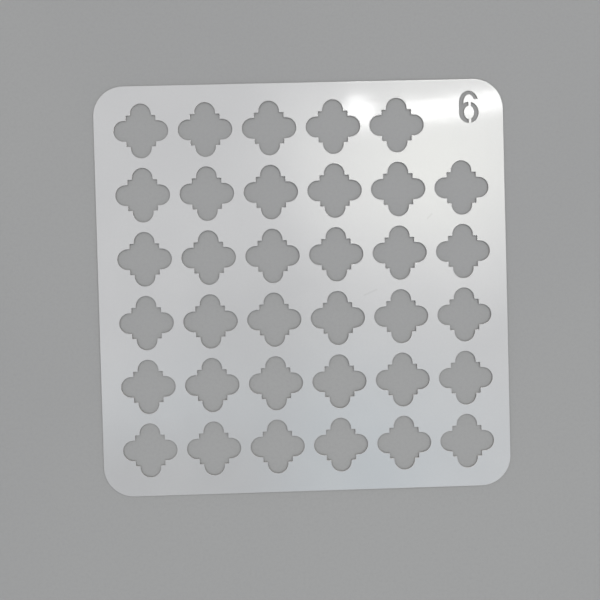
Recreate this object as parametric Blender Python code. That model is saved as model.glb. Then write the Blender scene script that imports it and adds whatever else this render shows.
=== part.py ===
"""A drawing stencil: one thin plastic sheet, cut through with a grid of stepped quatrefoils and a numeral.

Metres, +Z up. The sheet lies on z = 0 with its middle at the origin. The numeral stands in the corner at +X
and +Y, in place of the opening that the grid would have there, and its top is towards +Y.
"""

from collections import namedtuple
from math import acos, asin, cos, pi, sin

import bmesh
import bpy

MM = 0.001

# The sheet
SHEET_SIDE = 130 * MM
SHEET_THICKNESS = 0.5 * MM
CORNER_RADIUS = 9.5 * MM

# One opening: a square, a little taller than wide, with a round-ended lobe out of the middle of each side
LOBE_RADIUS = 3.25 * MM
LOBE_REACH = 8.6 * MM  # from the opening's middle to a lobe's tip
STEP_ACROSS = 1.4 * MM  # from the side of the upper or lower lobe to the square's corner
STEP_UP = 1.65 * MM  # from the side of the left or right lobe to the square's corner

# The grid of openings
WEB = 3.05 * MM  # between the tips of two neighbouring lobes
LEAST_RIM = 5 * MM  # between the outermost tips and the sheet's edge
GRID_SHIFT_X = 0.5 * MM  # the grid's middle lies off the sheet's by this much
GRID_SHIFT_Y = 0.2 * MM

# The numeral: a hook that comes down on the left into a bowl, whose middle is held in by a narrow bridge
NUMERAL_WIDTH = 6.2 * MM
NUMERAL_HEIGHT = 10.15 * MM
NUMERAL_FROM_SIDE = 7.85 * MM  # from the sheet's edge at +X
NUMERAL_FROM_TOP = 3.8 * MM  # from the sheet's edge at +Y
BOWL_HEIGHT = 6.65 * MM
BOWL_SIDE_STROKE = 1.45 * MM
BOWL_TOP_STROKE = 1.15 * MM
HOOK_REACH = 4 * MM  # half the height of the ellipse that the hook follows over the top
HOOK_SIDE_STROKE = 1.25 * MM
HOOK_TOP_STROKE = 1.1 * MM
HOOK_DROP = 2.6 * MM  # from the numeral's top down to the hook's free end
COUNTER_SHIFT = 0.07 * MM  # the inner edges lie this far towards +X, so the left strokes are the heavier
BRIDGE_WIDTH = 0.85 * MM
BRIDGE_SHIFT = 0.3 * MM  # from the numeral's middle towards +X

# How finely round stretches are divided, and the allowances of the modelling itself
CORNER_STEPS = 12
LOBE_STEPS = 12
NUMERAL_STEPS = 20
CUT_THROUGH = 1 * MM  # how far a cutter stands past each face of the sheet
WELD = 0.0001 * MM
SMOOTH_BELOW = pi / 6

LOBE_CENTRE = LOBE_REACH - LOBE_RADIUS
PITCH = 2 * LOBE_REACH + WEB
NUMERAL_X = SHEET_SIDE / 2 - NUMERAL_FROM_SIDE - NUMERAL_WIDTH / 2
NUMERAL_Y = SHEET_SIDE / 2 - NUMERAL_FROM_TOP - NUMERAL_HEIGHT / 2

Ellipse = namedtuple("Ellipse", "x y half_width half_height")


def clear_scene():
    for obj in list(bpy.data.objects):
        bpy.data.objects.remove(obj)


def new_collection(name):
    collection = bpy.data.collections.new(name)
    bpy.context.scene.collection.children.link(collection)
    return collection


def milky_plastic():
    material = bpy.data.materials.new("milky_plastic")
    material.use_nodes = True
    shader = material.node_tree.nodes["Principled BSDF"]
    shader.inputs["Base Color"].default_value = (0.66, 0.67, 0.69, 1)
    shader.inputs["Roughness"].default_value = 0.32
    shader.inputs["Metallic"].default_value = 0
    return material


def arc(ellipse, start, stop, steps):
    """Points along an ellipse from one angle to another, both ends included."""
    angles = [start + (stop - start) * i / steps for i in range(steps + 1)]
    return [
        (ellipse.x + ellipse.half_width * cos(a), ellipse.y + ellipse.half_height * sin(a))
        for a in angles
    ]


def round_arc(x, y, radius, start, stop, steps):
    return arc(Ellipse(x, y, radius, radius), start, stop, steps)


def four_quarters(points):
    """A quarter of an outline about the origin, followed by its three copies turned 90 degrees each."""
    outline = list(points)
    for _ in range(3):
        points = [(-y, x) for x, y in points]
        outline += points
    return outline


def sheet_outline():
    inset = SHEET_SIDE / 2 - CORNER_RADIUS
    return four_quarters(round_arc(inset, inset, CORNER_RADIUS, 0, pi / 2, CORNER_STEPS))


def opening_outline(x, y):
    """The stepped quatrefoil about x, y: its upper half from right to left, then the same turned over."""
    right, up = LOBE_RADIUS + STEP_ACROSS, LOBE_RADIUS + STEP_UP
    side_lobe = round_arc(LOBE_CENTRE, 0, LOBE_RADIUS, 0, pi / 2, LOBE_STEPS // 2)
    square = [(right, LOBE_RADIUS), (right, up), (LOBE_RADIUS, up)]
    upper_lobe = round_arc(0, LOBE_CENTRE, LOBE_RADIUS, 0, pi / 2, LOBE_STEPS // 2)
    quarter = side_lobe + square + upper_lobe
    half = quarter[:-1] + [(-dx, dy) for dx, dy in reversed(quarter)]
    outline = half[:-1] + [(-dx, -dy) for dx, dy in half[:-1]]
    return [(x + dx, y + dy) for dx, dy in outline]


def grid_lines(shift):
    """Where the openings' middles lie along a side: as many as fit between the rims."""
    room = SHEET_SIDE - 2 * (LEAST_RIM + abs(shift))
    count = int((room + WEB) // PITCH)
    return [shift + PITCH * (i - (count - 1) / 2) for i in range(count)]


def meets_numeral(x, y):
    """Whether an opening about x, y would come within a web's width of the numeral."""
    beside = abs(x - NUMERAL_X) < LOBE_REACH + WEB + NUMERAL_WIDTH / 2
    level = abs(y - NUMERAL_Y) < LOBE_REACH + WEB + NUMERAL_HEIGHT / 2
    return beside and level


def opening_middles():
    """Left to right in rows from the top, less the place that the numeral takes."""
    rows = reversed(grid_lines(GRID_SHIFT_Y))
    columns = grid_lines(GRID_SHIFT_X)
    return [(x, y) for y in rows for x in columns if not meets_numeral(x, y)]


def inner_edge(outer, side_stroke, top_stroke):
    """The ellipse that leaves these strokes between itself and the outer one, moved over by COUNTER_SHIFT."""
    return Ellipse(
        outer.x + COUNTER_SHIFT,
        outer.y,
        outer.half_width - side_stroke,
        outer.half_height - top_stroke,
    )


def bowl_outer():
    middle = NUMERAL_Y - NUMERAL_HEIGHT / 2 + BOWL_HEIGHT / 2
    return Ellipse(NUMERAL_X, middle, NUMERAL_WIDTH / 2, BOWL_HEIGHT / 2)


def bowl_half(left):
    """The half of the bowl's ring on the left or the right of the upright bridge."""
    outer = bowl_outer()
    inner = inner_edge(outer, BOWL_SIDE_STROKE, BOWL_TOP_STROKE)
    bridge_side = NUMERAL_X + BRIDGE_SHIFT + (-BRIDGE_WIDTH if left else BRIDGE_WIDTH) / 2

    def side(ellipse):
        turn = acos((bridge_side - ellipse.x) / ellipse.half_width)
        ends = (turn, 2 * pi - turn) if left else (-turn, turn)
        return arc(ellipse, *ends, NUMERAL_STEPS)

    return side(outer) + side(inner)[::-1]


def hook_outline():
    """From the level cut at its free end on the right, over the top and straight down into the bowl's side."""
    top = NUMERAL_Y + NUMERAL_HEIGHT / 2
    outer = Ellipse(NUMERAL_X, top - HOOK_REACH, NUMERAL_WIDTH / 2, HOOK_REACH)
    inner = inner_edge(outer, HOOK_SIDE_STROKE, HOOK_TOP_STROKE)
    foot = bowl_outer().y

    def side(ellipse):
        free_end = asin((top - HOOK_DROP - ellipse.y) / ellipse.half_height)
        return [*arc(ellipse, free_end, pi, NUMERAL_STEPS), (ellipse.x - ellipse.half_width, foot)]

    return side(outer) + side(inner)[::-1]


def evaluated_mesh(obj):
    """The object's shape after its modifiers as a new mesh, with a curve's caps welded to its sides."""
    bpy.context.view_layer.update()
    graph = bpy.context.evaluated_depsgraph_get()
    mesh = bpy.data.meshes.new_from_object(obj.evaluated_get(graph))
    shape = bmesh.new()
    shape.from_mesh(mesh)
    bmesh.ops.remove_doubles(shape, verts=shape.verts, dist=WELD)
    bmesh.ops.recalc_face_normals(shape, faces=shape.faces)
    shape.to_mesh(mesh)
    shape.free()
    return mesh


def flat_solid(name, outlines, bottom, top, collection):
    """A plate between two heights. An outline inside another one is a hole through it."""
    data = bpy.data.curves.new(name, "CURVE")
    data.dimensions = "2D"
    data.fill_mode = "BOTH"
    data.extrude = (top - bottom) / 2
    for outline in outlines:
        spline = data.splines.new("POLY")
        spline.points.add(len(outline) - 1)
        for point, (x, y) in zip(spline.points, outline):
            point.co = (x, y, 0, 1)
        spline.use_cyclic_u = True
    curve = bpy.data.objects.new(name + "_outline", data)
    curve.location.z = (bottom + top) / 2
    collection.objects.link(curve)
    solid = bpy.data.objects.new(name, evaluated_mesh(curve))
    solid.matrix_world = curve.matrix_world
    collection.objects.link(solid)
    bpy.data.objects.remove(curve)
    bpy.data.curves.remove(data)
    return solid


def new_cutter(name, outlines, collection):
    """Prisms that stand past both faces of the sheet, to be cut out of it."""
    cutter = flat_solid(name, outlines, -CUT_THROUGH, SHEET_THICKNESS + CUT_THROUGH, collection)
    cutter.hide_render = True
    cutter.display_type = "WIRE"
    return cutter


def all_cutters(collection):
    grid = [opening_outline(x, y) for x, y in opening_middles()]
    return [
        new_cutter("grid_openings", grid, collection),
        new_cutter("numeral_bowl_left", [bowl_half(left=True)], collection),
        new_cutter("numeral_bowl_right", [bowl_half(left=False)], collection),
        new_cutter("numeral_hook", [hook_outline()], collection),
    ]


def cut(solid, cutters):
    for cutter in cutters:
        modifier = solid.modifiers.new(cutter.name, "BOOLEAN")
        modifier.operation = "DIFFERENCE"
        modifier.solver = "EXACT"
        modifier.object = cutter
    mesh = evaluated_mesh(solid)
    solid.modifiers.clear()
    solid.data = mesh


def shade(solid):
    solid.data.shade_smooth()
    solid.data.set_sharp_from_angle(angle=SMOOTH_BELOW)


def stencil_sheet(parts, cutters):
    sheet = flat_solid("stencil_sheet", [sheet_outline()], 0, SHEET_THICKNESS, parts)
    cut(sheet, all_cutters(cutters))
    shade(sheet)
    sheet.data.materials.clear()
    sheet.data.materials.append(milky_plastic())
    return sheet


def main():
    clear_scene()
    stencil_sheet(new_collection("stencil"), new_collection("cutters"))


main()
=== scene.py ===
"""The looks of a drawing stencil: a thin sheet of milky plastic with cut-out quatrefoils, on a
pale floor.

Metres, +Z up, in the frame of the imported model. The sheet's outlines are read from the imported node,
so the piece that is seen has the same openings. Its arcs are finer, its cut edges are rounded and
faintly scorched, and it isn't quite flat, as a thin sheet never is.
"""

from collections import namedtuple
from math import pi, radians

import bmesh
import bpy
import numpy as np
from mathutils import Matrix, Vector
from mathutils.geometry import delaunay_2d_cdt

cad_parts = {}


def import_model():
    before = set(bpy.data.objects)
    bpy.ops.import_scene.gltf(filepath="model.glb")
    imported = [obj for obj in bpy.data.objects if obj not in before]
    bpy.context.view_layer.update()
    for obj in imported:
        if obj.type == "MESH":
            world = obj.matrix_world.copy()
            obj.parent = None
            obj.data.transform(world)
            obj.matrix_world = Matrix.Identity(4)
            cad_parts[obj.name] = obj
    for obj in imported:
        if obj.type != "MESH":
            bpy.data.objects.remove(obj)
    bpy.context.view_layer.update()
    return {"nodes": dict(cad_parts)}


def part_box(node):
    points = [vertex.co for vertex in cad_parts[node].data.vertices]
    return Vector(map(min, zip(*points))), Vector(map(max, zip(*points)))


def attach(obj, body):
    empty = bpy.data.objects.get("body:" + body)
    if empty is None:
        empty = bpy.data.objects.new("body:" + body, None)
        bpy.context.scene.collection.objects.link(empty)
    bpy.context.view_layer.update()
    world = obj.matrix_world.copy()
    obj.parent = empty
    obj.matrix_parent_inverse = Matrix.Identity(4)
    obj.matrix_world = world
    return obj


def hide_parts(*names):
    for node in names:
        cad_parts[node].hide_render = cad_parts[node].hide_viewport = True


MM = 0.001

# The camera looks straight down, but for a degree or two
CAMERA_PLACE = (-7.62 * MM, 1.88 * MM, 286.9 * MM)
CAMERA_TURN = (radians(-1.12), radians(-1.30), radians(-1.52))
CAMERA_LENS = 54
CAMERA_SENSOR = 36
CAMERA_NEAR = 0.01  # where its view begins

# The cut edge: a lip that the laser melted, a rounded edge, the wall, and a rounded edge below
LIP_WIDTH = 0.36 * MM
NARROW_LIP_WIDTH = 0.16 * MM  # around the numeral's cuts, which lie close together
WIDE = 10 * MM  # openings wider than this have the wide lip
LIP_HEIGHT = 0.006 * MM
LIP_SLOPE = [(1, 0), (0.8, 0), (0.6, 0.4), (0.4, 1)]  # shares of its width and of its height
LIP_END = 0.6  # the share of its height that it still has where the rounded edge starts
EDGE_ROUND = 0.05 * MM
EDGE_CUT = 0.3  # how far its middle is from the sides of the square edge, as a share of EDGE_ROUND

# The corners of the outlines
SHARP_TURN = radians(30)  # a corner that turns by more than this is made round
CORNER_ROUND = 0.14 * MM
CORNER_STEPS = 4
ARM_SHARE = 0.4  # the most that a round corner takes of the edges beside it

# How far the sheet is from flat
DOME = 0.35 * MM
RIPPLE = 0.03 * MM
RIPPLE_LENGTH = 46 * MM
RIPPLE_SLANT = 0.4  # how far the ripples lean, as x for each y
RIPPLE_START = 0.6  # where they start, as an angle

# How finely the sheet is divided, and the allowances of the meshing itself
MESH_SPACING = 1.6 * MM
GRID_MARGIN = 0.5 * MM  # from the lips to the even grid between them
GRID_REACH = 1 * MM  # a grid point further than this from an opening is clear of it
LONG_EDGE = 2 * MM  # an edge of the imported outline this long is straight, and not part of an arc
ARC_TURN = radians(2)
SAME_PLACE = 0.0005 * MM
WELD = 0.001 * MM
LEVEL = 0.01 * MM
UPRIGHT = 0.5  # a face whose normal rises by less than this is a wall
WHOLE_HULL, EPSILON = 0, 1e-7  # what the triangulation fills, and how close it takes points for one

# Two small marks on the upper face, each from one place to another, in millimetres
NICKS = [((19.3, -2.85), (23.2, -1.2)), ((40.0, 21.0), (41.4, 22.4))]
NICK_CORE, NICK_SIDE = 0.05, 0.45  # how far from its line a mark is full, and where it is gone
NICK_STRENGTH = 0.25

# Hairlines by their direction, length and distance apart in millimetres, and how broad they are
Hairlines = namedtuple("Hairlines", "turn along across width")
HAIRLINES = [Hairlines(radians(24), 60, 2.2, 0.006), Hairlines(radians(-63), 45, 3, 0.005)]
HAIRLINE_GAPS = 0.55, 0.64  # the noise values between which a hairline appears
HAIRLINE_ROUGHNESS = 0.5
HAIRLINE_DEPTH = 0.7

# The streaks from the sheet's making, by their direction, length and distance apart
DRAWN = radians(-2), 70, 4

# Noises by their patches in a millimetre, the finer noises on top, and how much those count
Noise = namedtuple("Noise", "scale detail roughness")
CLOUDS = Noise(0.03, 3, 0.5)
GRAIN = Noise(1.4, 4, 0.7)
UNEVEN_HEAT = Noise(0.5, 3, 0.5)
SMUDGES = Noise(0.06, 4, 0.6)
ORANGE_PEEL = Noise(0.35, 2, 0.5)
STREAKS = Noise(1, 2, 0.5)
LINES = Noise(1, 0, 0.5)
LINE_GAPS = Noise(0.11, 1, 0.5)
WALL_STREAKS = Noise(2.2, 3, 0.7)
WALL_PATCHES = Noise(0.12, 2, 0.5)
FLOOR_CLOUDS = Noise(0.004, 3, 0.5)
FLOOR_GRAIN = Noise(1.1, 5, 0.75)
MOST = 0.3, 0.7  # nearly all values of a noise lie between these
NOISE_MIDDLE = 0.5

# Colours in linear values. Where there are two, they are the ends that a surface varies between
MILKY = (0.493, 0.493, 0.496, 1), (0.519, 0.519, 0.52, 1)
SCORCHED_LIP = 0.415, 0.378, 0.325, 1
NICKED = 0.32, 0.315, 0.31, 1
WALL = (0.38, 0.352, 0.31, 1), (0.49, 0.47, 0.435, 1)
FLOOR = (0.36, 0.36, 0.36, 1), (0.383, 0.383, 0.379, 1)

# A colour over another one, by the noise values between which it appears, and its share above them
Patch = namedtuple("Patch", "colour low high share")
MILKY_GRAIN = Patch((0.469, 0.469, 0.472, 1), 0.35, 0.7, 0.25)
WALL_PATCH = Patch((0.51, 0.495, 0.465, 1), 0.5, 0.75, 0.5)
FLOOR_SPECKS = Patch((0.316, 0.316, 0.316, 1), 0.4, 0.7, 0.3)

# The heat runs from 0 at a lip's outer side to 1 at the wall
SCORCH_FROM = 0.7  # the heat above which the plastic is scorched
SCORCH_SHARE = 0.7  # how strongly at the wall
SCORCH_UNEVEN = 0.35, 1.0  # the part of it that is there, from place to place

# The plastic's gloss: an outer skin over the milky body
SHEET_ROUGHNESS = 0.30, 0.35  # where it is clean, and where it is smudged
SMUDGE_FADE = 0.5, 0.68  # the noise values between which a smudge appears
SHEET_IOR = 1.45
SKIN_ROUGHNESS = 0.07
SKIN_IOR = 1.64

WALL_ROUGHNESS = 0.35, 0.6
WALL_STRETCH = 3, 3, 0.4  # the streaks are fine around a cut and long down its wall

FLOOR_ROUGHNESS = 0.85
FLOOR_SPECULAR = 0.2
FLOOR_SIDE = 4
FLOOR_DROP = 0.02 * MM

# The relief of the surfaces
Relief = namedtuple("Relief", "strength depth")
SHEET_RELIEF = Relief(0.5, 0.009 * MM)
WALL_RELIEF = Relief(0.6, 0.02 * MM)
FLOOR_RELIEF = Relief(0.4, 0.1 * MM)

# The ceiling is a wide soft panel with a glow, two darker stretches and one that only has a cooler
# hue, by their middle, their reach and the radiance that they add
Blob = namedtuple("Blob", "x y across along radiance", defaults=[0])
CEILING_HEIGHT = 0.8
CEILING_SIDE = 1.6
CEILING_FADE = 0.3
CEILING_RADIANCE = 1.17
GLOW = Blob(0.195, 0.147, 0.293, 0.236, 3.6)
DUSK = Blob(-0.15, -0.243, 0.323, 0.124, -1.3)
SHADE = Blob(-0.035, -0.08, 0.146, 0.179, -0.78)
COOL = Blob(0, -0.25, 0.42, 0.25)
CEILING_HUE = 0.99, 0.985, 1, 1
COOL_HUE = 0.4, 0.78, 1, 1
GLOW_HUE = 1, 1, 0.91, 1

# The bright window, two panes just under the ceiling. The softness is that of the left, right,
# lower and upper side
Pane = namedtuple("Pane", "name x y width height softness roll")
WINDOW = [
    Pane("window_left", 0.094, 0.2028, 0.05, 0.0504, (0.006, 0.018, 0.0235, 0.0094), radians(-11)),
    Pane("window_right", 0.2025, 0.2119, 0.165, 0.0345, (0.04, 0.027, 0.018, 0.0077), radians(3.8)),
]
WINDOW_HEIGHT = 0.79
WINDOW_RADIANCE = 8.8

# The middle of a light in its own measure, which runs from 0 to 1 across it
PANEL_MIDDLE = 0.5, 0.5, 0

# The studio's walls are bright near the floor and dimmer towards the ceiling. The heights are those
# of a direction of length 1
STUDIO_HEIGHTS = 0.1, 0.7
STUDIO_RADIANCE = 0.55, 0.3
STUDIO_HUE = 0.985, 0.985, 1, 1

# The Mix node has a socket of each name for every kind of value. These are for its factor and
# colours
MIX_FACTOR, MIX_FIRST, MIX_SECOND, MIX_RESULT = 0, 6, 7, 2


def add_node(tree, kind, links=None, **settings):
    """A shader node with its inputs set by name, from a value or from another node's output."""
    node = tree.nodes.new("ShaderNode" + kind)
    for name, value in settings.items():
        setattr(node, name, value)
    for name, value in (links or {}).items():
        socket = node.inputs[name]
        if isinstance(value, bpy.types.NodeSocket):
            tree.links.new(value, socket)
        else:
            socket.default_value = value
    return node


def math_node(tree, operation, first, second=0.0):
    return add_node(tree, "Math", {0: first, 1: second}, operation=operation).outputs["Value"]


def vector_math(tree, operation, first, second, result="Vector"):
    return add_node(tree, "VectorMath", {0: first, 1: second}, operation=operation).outputs[result]


def mapped(tree, value, low, high, to_low=0.0, to_high=1.0):
    """The value moved smoothly from one range to another and held at its ends."""
    links = {"Value": value, "From Min": low, "From Max": high, "To Min": to_low, "To Max": to_high}
    return add_node(tree, "MapRange", links, interpolation_type="SMOOTHSTEP").outputs["Result"]


def mixed(tree, factor, first, second):
    """Two colours mixed by a factor."""
    links = {MIX_FACTOR: factor, MIX_FIRST: first, MIX_SECOND: second}
    return add_node(tree, "Mix", links, data_type="RGBA").outputs[MIX_RESULT]


def patched(tree, tint, value, patch):
    """A tint with a patch's colour over it where a value is high."""
    share = mapped(tree, value, patch.low, patch.high, 0.0, patch.share)
    return mixed(tree, share, tint, patch.colour)


def noise(tree, place, kind):
    settings = {"Scale": kind.scale, "Detail": kind.detail, "Roughness": kind.roughness}
    return add_node(tree, "TexNoise", {"Vector": place, **settings}).outputs["Fac"]


def scaled(tree, place, scale):
    return add_node(tree, "Mapping", {"Vector": place, "Scale": scale}).outputs["Vector"]


def stretched(tree, place, turn, along, across):
    """The place in millimetres, turned about Z and drawn out along one direction."""
    turned = add_node(tree, "Mapping", {"Vector": place, "Rotation": (0, 0, turn)})
    return scaled(tree, turned.outputs["Vector"], (1 / along, 1 / across, 1))


def bumped(tree, shader, height, relief):
    """Gives a shader a relief from a height between 0 and 1, and returns the normal."""
    links = {"Height": height, "Strength": relief.strength, "Distance": relief.depth}
    normal = add_node(tree, "Bump", links).outputs["Normal"]
    tree.links.new(normal, shader.inputs["Normal"])
    return normal


def new_material(name):
    """A material with its shader tree, its shader, and the place on the piece in millimetres."""
    material = bpy.data.materials.new(name)
    material.use_nodes = True
    tree = material.node_tree
    place = scaled(tree, add_node(tree, "TexCoord").outputs["Object"], [1 / MM] * 3)
    return material, tree, tree.nodes["Principled BSDF"], place


def hairlines(tree, place, kind):
    """Hairlines that run in one direction, broken up along their length. They follow the places
    where a noise has its middle value."""
    lines = noise(tree, stretched(tree, place, kind.turn, kind.along, kind.across), LINES)
    off_line = math_node(tree, "ABSOLUTE", math_node(tree, "SUBTRACT", lines, NOISE_MIDDLE))
    line = mapped(tree, off_line, 0.0, kind.width, 1.0, 0.0)
    gaps = mapped(tree, noise(tree, place, LINE_GAPS), *HAIRLINE_GAPS)
    return math_node(tree, "MULTIPLY", line, gaps)


def nick(tree, place, start, end):
    """A short straight mark between two places in millimetres, fading out to its sides."""
    start, end = Vector(start).to_3d(), Vector(end).to_3d()
    course = (end - start).normalized()
    off = vector_math(tree, "MULTIPLY", vector_math(tree, "SUBTRACT", place, start), (1, 1, 0))
    along = vector_math(tree, "DOT_PRODUCT", off, course, "Value")
    along = math_node(tree, "MINIMUM", math_node(tree, "MAXIMUM", along, 0.0), (end - start).length)
    nearest = add_node(tree, "VectorMath", {0: course, "Scale": along}, operation="SCALE")
    far = vector_math(tree, "DISTANCE", off, nearest.outputs["Vector"], "Value")
    return mapped(tree, far, NICK_CORE, NICK_SIDE, 1.0, 0.0)


def milky_plastic():
    """Milky plastic under a glossy skin, a little browned beside a cut, with a few marks of use."""
    material, tree, shader, place = new_material("milky_plastic")
    tint = mixed(tree, mapped(tree, noise(tree, place, CLOUDS), *MOST), *MILKY)
    tint = patched(tree, tint, noise(tree, place, GRAIN), MILKY_GRAIN)
    heat = add_node(tree, "Attribute", attribute_name="heat").outputs["Fac"]
    uneven = mapped(tree, noise(tree, place, UNEVEN_HEAT), *MOST, *SCORCH_UNEVEN)
    scorch = mapped(tree, heat, SCORCH_FROM, 1.0, 0.0, SCORCH_SHARE)
    tint = mixed(tree, math_node(tree, "MULTIPLY", scorch, uneven), tint, SCORCHED_LIP)
    nicks = math_node(tree, "MAXIMUM", *(nick(tree, place, *ends) for ends in NICKS))
    tint = mixed(tree, math_node(tree, "MULTIPLY", nicks, NICK_STRENGTH), tint, NICKED)
    tree.links.new(tint, shader.inputs["Base Color"])

    hairs = math_node(tree, "MAXIMUM", *(hairlines(tree, place, kind) for kind in HAIRLINES))
    rough = mapped(tree, noise(tree, place, SMUDGES), *SMUDGE_FADE, *SHEET_ROUGHNESS)
    scratched = math_node(tree, "MULTIPLY", hairs, HAIRLINE_ROUGHNESS)
    rough = math_node(tree, "MAXIMUM", rough, scratched)
    tree.links.new(rough, shader.inputs["Roughness"])

    drawn = noise(tree, stretched(tree, place, *DRAWN), STREAKS)
    height = math_node(tree, "ADD", drawn, noise(tree, place, ORANGE_PEEL))
    height = math_node(tree, "SUBTRACT", height, math_node(tree, "MULTIPLY", hairs, HAIRLINE_DEPTH))
    normal = bumped(tree, shader, height, SHEET_RELIEF)
    tree.links.new(normal, shader.inputs["Coat Normal"])

    shader.inputs["IOR"].default_value = SHEET_IOR
    shader.inputs["Coat Weight"].default_value = 1.0
    shader.inputs["Coat Roughness"].default_value = SKIN_ROUGHNESS
    shader.inputs["Coat IOR"].default_value = SKIN_IOR
    return material


def scorched_edge():
    """The walls of the cuts, which the laser left a little darker, with fine streaks from the upper
    to the lower face."""
    material, tree, shader, place = new_material("scorched_edge")
    streak = noise(tree, scaled(tree, place, WALL_STRETCH), WALL_STREAKS)
    tint = mixed(tree, mapped(tree, streak, *MOST), *WALL)
    tint = patched(tree, tint, noise(tree, place, WALL_PATCHES), WALL_PATCH)
    tree.links.new(tint, shader.inputs["Base Color"])
    tree.links.new(mapped(tree, streak, *MOST, *WALL_ROUGHNESS), shader.inputs["Roughness"])
    bumped(tree, shader, streak, WALL_RELIEF)
    return material


def pale_floor():
    material, tree, shader, place = new_material("pale_floor")
    grain = noise(tree, place, FLOOR_GRAIN)
    tint = mixed(tree, mapped(tree, noise(tree, place, FLOOR_CLOUDS), *MOST), *FLOOR)
    tint = patched(tree, tint, grain, FLOOR_SPECKS)
    tree.links.new(tint, shader.inputs["Base Color"])
    bumped(tree, shader, grain, FLOOR_RELIEF)
    shader.inputs["Roughness"].default_value = FLOOR_ROUGHNESS
    shader.inputs["Specular IOR Level"].default_value = FLOOR_SPECULAR
    return material


def outline_of(first, onward):
    """The points of a closed chain of edges, from one of its points."""
    outline = [first]
    before, here = first, onward[first][0]
    while here is not first:
        outline.append(here)
        a, b = onward[here]
        before, here = here, b if a is before else a
    return np.array([vert.co.xy for vert in outline])


def node_outlines(node, top):
    """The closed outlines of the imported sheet's upper face, the sheet's own one first."""
    shape = bmesh.new()
    shape.from_mesh(node.data)
    bmesh.ops.remove_doubles(shape, verts=shape.verts, dist=WELD)
    onward = {}
    for edge in shape.edges:
        slopes = sorted(abs(face.normal.z) for face in edge.link_faces)
        level = all(abs(vert.co.z - top) < LEVEL for vert in edge.verts)
        if level and slopes[0] < UPRIGHT < slopes[-1]:
            a, b = edge.verts
            onward.setdefault(a, []).append(b)
            onward.setdefault(b, []).append(a)
    outlines, seen = [], set()
    for vert in sorted(onward, key=lambda v: v.index):
        if vert in seen:
            continue
        outline, chain = outline_of(vert, onward), [vert]
        while chain:
            here = chain.pop()
            if here not in seen:
                seen.add(here)
                chain += onward[here]
        outlines.append(outline)
    shape.free()
    return sorted(outlines, key=lambda points: -np.ptp(points, axis=0).max())


def signed_area(points):
    x, y = points.T
    return (x * np.roll(y, -1) - np.roll(x, -1) * y).sum() / 2


def turned_about(points):
    """The angle by which an outline turns at each of its points."""
    there = np.roll(points, -1, axis=0) - points
    here = points - np.roll(points, 1, axis=0)
    cross = here[:, 0] * there[:, 1] - here[:, 1] * there[:, 0]
    return np.arctan2(cross, (here * there).sum(axis=1))


def finer(points):
    """The outline with each edge of a round stretch halved, its new point put out on the arc, and
    each long straight edge divided, so that it can follow the sheet's rise and fall."""
    turn = turned_about(points)
    turn[abs(turn) > SHARP_TURN] = 0
    after = np.roll(points, -1, axis=0)
    edge = after - points
    length = np.linalg.norm(edge, axis=1)
    out = np.column_stack([edge[:, 1], -edge[:, 0]])
    both = (turn + np.roll(turn, -1)) / 2
    middle = (points + after) / 2 + out * np.tan(both / 4)[:, None] / 2
    is_round = (abs(both) > ARC_TURN) & (length < LONG_EDGE)
    result = []
    for k, point in enumerate(points):
        result.append(point)
        if is_round[k]:
            result.append(middle[k])
        pieces = int(length[k] // MESH_SPACING)
        result += [point + edge[k] * i / pieces for i in range(1, pieces)]
    return np.array(result)


def moved_in(points, distance):
    """The outline moved by a distance to its left, which is into the sheet."""
    there = np.roll(points, -1, axis=0) - points
    there /= np.linalg.norm(there, axis=1)[:, None]
    left = np.column_stack([-there[:, 1], there[:, 0]])
    both = left + np.roll(left, 1, axis=0)
    both *= 2 / (both ** 2).sum(axis=1)[:, None]
    return points + distance * both


def ring(points, distance):
    """The outline moved into the sheet, with its sharp corners made round. A corner of the sheet
    that stands out into an opening is the sharper the further in, any other one the rounder."""
    turns = turned_about(points)
    moved = moved_in(points, distance)
    result = []
    for k in np.flatnonzero(turns > SHARP_TURN):
        for step in (-1, 1):
            near = (k + step) % len(points)
            while (moved[near] - moved[k]) @ (points[near] - points[k]) < 0:
                moved[near] = moved[k]
                near = (near + step) % len(points)
    for k, turn in enumerate(turns):
        corner = moved[k]
        if abs(turn) <= SHARP_TURN:
            result.append(corner)
            continue
        arms = [moved[k - 1] - corner, moved[(k + 1) % len(moved)] - corner]
        lengths = [max(np.linalg.norm(arm), SAME_PLACE) for arm in arms]
        radius = max(CORNER_ROUND - distance, 0) if turn > 0 else CORNER_ROUND + distance
        reach = min(radius * np.tan(abs(turn) / 2), ARM_SHARE * min(lengths))
        start, end = (corner + reach * arm / length for arm, length in zip(arms, lengths))
        for t in np.linspace(0, 1, CORNER_STEPS + 1):
            result.append((1 - t) ** 2 * start + 2 * t * (1 - t) * corner + t * t * end)
    return np.array(result)


def distinct(points):
    """The outline without points that lie on the one before."""
    apart = np.linalg.norm(points - np.roll(points, 1, axis=0), axis=1) > SAME_PLACE
    return points[apart]


def inside(points, outline):
    """Which of the points lie inside an outline."""
    x, y = points.T
    found = np.zeros(len(points), bool)
    for (x0, y0), (x1, y1) in zip(outline, np.roll(outline, -1, axis=0)):
        crosses = (y0 > y) != (y1 > y)
        if crosses.any():
            at = x0 + (y[crosses] - y0) * (x1 - x0) / (y1 - y0)
            found[np.flatnonzero(crosses)[x[crosses] < at]] ^= True
    return found


def lift(x, y, half):
    """How far the sheet stands off the floor: highest near its middle, with low ripples."""
    dome = DOME * (1 - (x * x + y * y) / (2 * half * half))
    ripple = RIPPLE * (1 + np.sin(2 * pi * (x + RIPPLE_SLANT * y) / RIPPLE_LENGTH + RIPPLE_START))
    return dome + ripple


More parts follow.
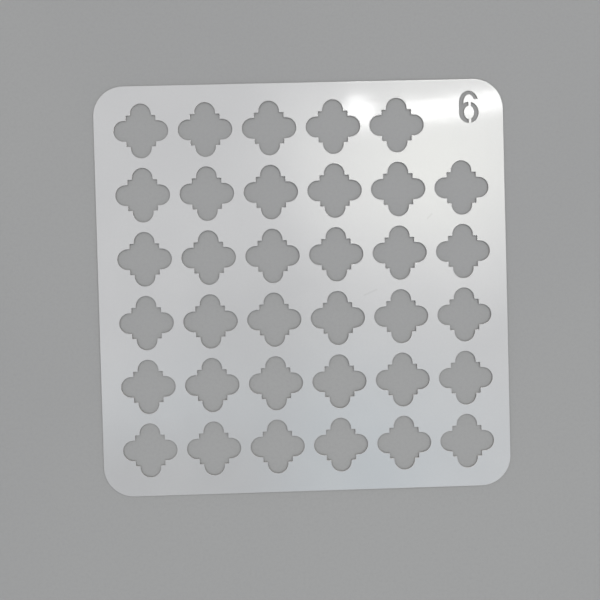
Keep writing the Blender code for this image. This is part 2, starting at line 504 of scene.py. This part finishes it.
def edge_profile(lip, thickness):
    """(distance in from the wall, height) around the cut edge, from the upper to the lower face.
    The lip's first band is level, so that its slope doesn't shade the wide face beside it."""
    return [
        *((across * lip, thickness + up * LIP_HEIGHT) for across, up in LIP_SLOPE),
        (EDGE_ROUND, thickness + LIP_END * LIP_HEIGHT),
        (EDGE_CUT * EDGE_ROUND, thickness - EDGE_CUT * EDGE_ROUND),
        (0, thickness - EDGE_ROUND),
        (0, EDGE_ROUND),
        (EDGE_CUT * EDGE_ROUND, EDGE_CUT * EDGE_ROUND),
        (EDGE_ROUND, 0),
        (2 * EDGE_ROUND, 0),
        (lip, 0),
    ]


def at_height(points, height):
    return np.column_stack([points, np.full(len(points), height)])


def face_mesh(outlines, half):
    """Points and triangles of the sheet's face inside its lips, which its outlines are here."""
    points = [point for outline in outlines for point in outline]
    edges = []
    start = 0
    for outline in outlines:
        count = len(outline)
        edges += [(start + k, start + (k + 1) % count) for k in range(count)]
        start += count
    steps = np.arange(-half, half, MESH_SPACING)
    shift = np.where(np.arange(len(steps)) % 2, MESH_SPACING / 2, 0)
    grid = np.array([(x + s, y) for y, s in zip(steps, shift) for x in steps])
    kept = inside(grid, moved_in(outlines[0], GRID_MARGIN))
    for outline in outlines[1:]:
        low, high = outline.min(axis=0) - GRID_REACH, outline.max(axis=0) + GRID_REACH
        near = kept & (grid > low).all(axis=1) & (grid < high).all(axis=1)
        kept[near] &= ~inside(grid[near], moved_in(outline, GRID_MARGIN))
    points += list(grid[kept])
    made = delaunay_2d_cdt([Vector(p) for p in points], edges, [], WHOLE_HULL, EPSILON)
    places = np.array(made[0])
    faces = np.array(made[2])
    middles = places[faces].mean(axis=1)
    solid = inside(middles, outlines[0])
    for outline in outlines[1:]:
        low, high = outline.min(axis=0), outline.max(axis=0)
        near = solid & (middles > low).all(axis=1) & (middles < high).all(axis=1)
        solid[near] &= ~inside(middles[near], outline)
    return places, faces[solid]


def sheet_mesh(node):
    """The sheet's points, faces, heat at each point, and which faces are walls."""
    low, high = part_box(node.name)
    thickness, half = high.z - low.z, (high.x - low.x) / 2
    outlines, lips = [], []
    for number, points in enumerate(node_outlines(node, high.z)):
        if (signed_area(points) > 0) != (number == 0):
            points = points[::-1]
        outlines.append(finer(points))
        lips.append(LIP_WIDTH if np.ptp(points, axis=0).min() > WIDE else NARROW_LIP_WIDTH)
    inner = [distinct(ring(points, lip)) for points, lip in zip(outlines, lips)]
    flat, triangles = face_mesh(inner, half)

    places = [at_height(flat, thickness), at_height(flat, 0)]
    faces = [tuple(face) for face in triangles]
    faces += [tuple(face[::-1] + len(flat)) for face in triangles]
    heat = [np.zeros(2 * len(flat))]
    walls = [False] * len(faces)
    start = 2 * len(flat)
    for points, lip in zip(outlines, lips):
        profile = edge_profile(lip, thickness)
        for inset, height in profile:
            loop = ring(points, inset)
            count = len(loop)
            places.append(at_height(loop, height))
            heat.append(np.full(count, 1 - inset / lip))
        for band in range(len(profile) - 1):
            for k in range(count):
                a, b = start + band * count + k, start + band * count + (k + 1) % count
                faces.append((a, a + count, b + count, b))
                walls.append(profile[band][0] < EDGE_ROUND)
        start += count * len(profile)
    places = np.concatenate(places)
    places[:, 2] += low.z + lift(places[:, 0], places[:, 1], half)
    return places, faces, np.concatenate(heat), walls


def stencil_sheet(node):
    """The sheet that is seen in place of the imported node."""
    places, faces, heat, walls = sheet_mesh(node)
    mesh = bpy.data.meshes.new("sheet")
    corners = [tuple(int(i) for i in face) for face in faces]
    mesh.from_pydata([tuple(place) for place in places], [], corners)
    mesh.attributes.new("heat", "FLOAT", "POINT").data.foreach_set("value", heat.astype(np.float32))
    mesh.materials.append(milky_plastic())
    mesh.materials.append(scorched_edge())
    mesh.polygons.foreach_set("material_index", np.array(walls, np.int32))
    shape = bmesh.new()
    shape.from_mesh(mesh)
    bmesh.ops.remove_doubles(shape, verts=shape.verts, dist=SAME_PLACE)
    bmesh.ops.recalc_face_normals(shape, faces=shape.faces)
    shape.to_mesh(mesh)
    shape.free()
    mesh.shade_smooth()
    piece = bpy.data.objects.new("sheet", mesh)
    bpy.context.scene.collection.objects.link(piece)
    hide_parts(node.name)
    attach(piece, "root")


def floor():
    half = FLOOR_SIDE / 2
    mesh = bpy.data.meshes.new("floor")
    corners = [(-half, -half), (half, -half), (half, half), (-half, half)]
    mesh.from_pydata([(x, y, -FLOOR_DROP) for x, y in corners], [], [(0, 1, 2, 3)])
    mesh.materials.append(pale_floor())
    piece = bpy.data.objects.new("floor", mesh)
    bpy.context.scene.collection.objects.link(piece)


def camera():
    data = bpy.data.cameras.new("camera")
    data.lens = CAMERA_LENS
    data.sensor_width = CAMERA_SENSOR
    data.clip_start = CAMERA_NEAR
    piece = bpy.data.objects.new("camera", data)
    piece.location = CAMERA_PLACE
    piece.rotation_euler = CAMERA_TURN
    bpy.context.scene.collection.objects.link(piece)
    bpy.context.scene.camera = piece


def panel_light(name, place, width, height, roll=0):
    """A flat light that looks straight down, with an emission strength that is its radiance.
    Returns its shader tree and the place on it, in metres from its middle."""
    data = bpy.data.lights.new(name, "AREA")
    data.shape = "RECTANGLE"
    data.size = width
    data.size_y = height
    data.energy = pi * width * height
    data.use_nodes = True
    tree = data.node_tree
    piece = bpy.data.objects.new(name, data)
    piece.location = place
    piece.rotation_euler = (0, 0, roll)
    bpy.context.scene.collection.objects.link(piece)
    across = add_node(tree, "NewGeometry").outputs["Parametric"]
    place = vector_math(tree, "SUBTRACT", across, PANEL_MIDDLE)
    return tree, vector_math(tree, "MULTIPLY", place, (width, height, 0))


def soft_sides(tree, place, width, height, softness):
    """From 0 at a panel's sides to 1 within it, over the softness of each side."""
    left, right, lower, upper = softness
    parts = add_node(tree, "SeparateXYZ", {"Vector": place}).outputs
    sides = [
        mapped(tree, parts["X"], -width / 2, -width / 2 + left),
        mapped(tree, parts["X"], width / 2, width / 2 - right),
        mapped(tree, parts["Y"], -height / 2, -height / 2 + lower),
        mapped(tree, parts["Y"], height / 2, height / 2 - upper),
    ]
    share = sides[0]
    for side in sides[1:]:
        share = math_node(tree, "MULTIPLY", share, side)
    return share


def nearness(tree, place, blob):
    """1 at the middle of a panel's blob, down to 0 at its reach."""
    off = vector_math(tree, "SUBTRACT", place, (blob.x, blob.y, 0))
    off = vector_math(tree, "MULTIPLY", off, (1 / blob.across, 1 / blob.along, 0))
    far = vector_math(tree, "LENGTH", off, (0, 0, 0), "Value")
    return mapped(tree, far, 0.0, 1.0, 1.0, 0.0)


def ceiling():
    tree, place = panel_light("ceiling", (0, 0, CEILING_HEIGHT), CEILING_SIDE, CEILING_SIDE)
    strength = CEILING_RADIANCE
    for blob in (GLOW, DUSK, SHADE):
        added = math_node(tree, "MULTIPLY", nearness(tree, place, blob), blob.radiance)
        strength = math_node(tree, "ADD", added, strength)
    strength = math_node(tree, "MAXIMUM", strength, 0.0)
    share = soft_sides(tree, place, CEILING_SIDE, CEILING_SIDE, [CEILING_FADE] * 4)
    shine = tree.nodes["Emission"]
    tree.links.new(math_node(tree, "MULTIPLY", strength, share), shine.inputs["Strength"])
    hue = mixed(tree, nearness(tree, place, COOL), CEILING_HUE, COOL_HUE)
    tree.links.new(mixed(tree, nearness(tree, place, GLOW), hue, GLOW_HUE), shine.inputs["Color"])


def window_pane(pane):
    place = (pane.x, pane.y, WINDOW_HEIGHT)
    tree, place = panel_light(pane.name, place, pane.width, pane.height, pane.roll)
    share = soft_sides(tree, place, pane.width, pane.height, pane.softness)
    shine = tree.nodes["Emission"]
    tree.links.new(math_node(tree, "MULTIPLY", share, WINDOW_RADIANCE), shine.inputs["Strength"])


def studio_walls():
    world = bpy.data.worlds.new("studio")
    world.use_nodes = True
    tree = world.node_tree
    way = add_node(tree, "TexCoord").outputs["Generated"]
    upwards = add_node(tree, "SeparateXYZ", {"Vector": way}).outputs["Z"]
    strength = mapped(tree, upwards, *STUDIO_HEIGHTS, *STUDIO_RADIANCE)
    background = tree.nodes["Background"]
    tree.links.new(strength, background.inputs["Strength"])
    background.inputs["Color"].default_value = STUDIO_HUE
    bpy.context.scene.world = world


def lights():
    studio_walls()
    ceiling()
    for pane in WINDOW:
        window_pane(pane)


def main():
    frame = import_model()
    bpy.context.scene.view_settings.view_transform = "Standard"
    camera()
    floor()
    stencil_sheet(frame["nodes"]["stencil_sheet"])
    lights()


main()
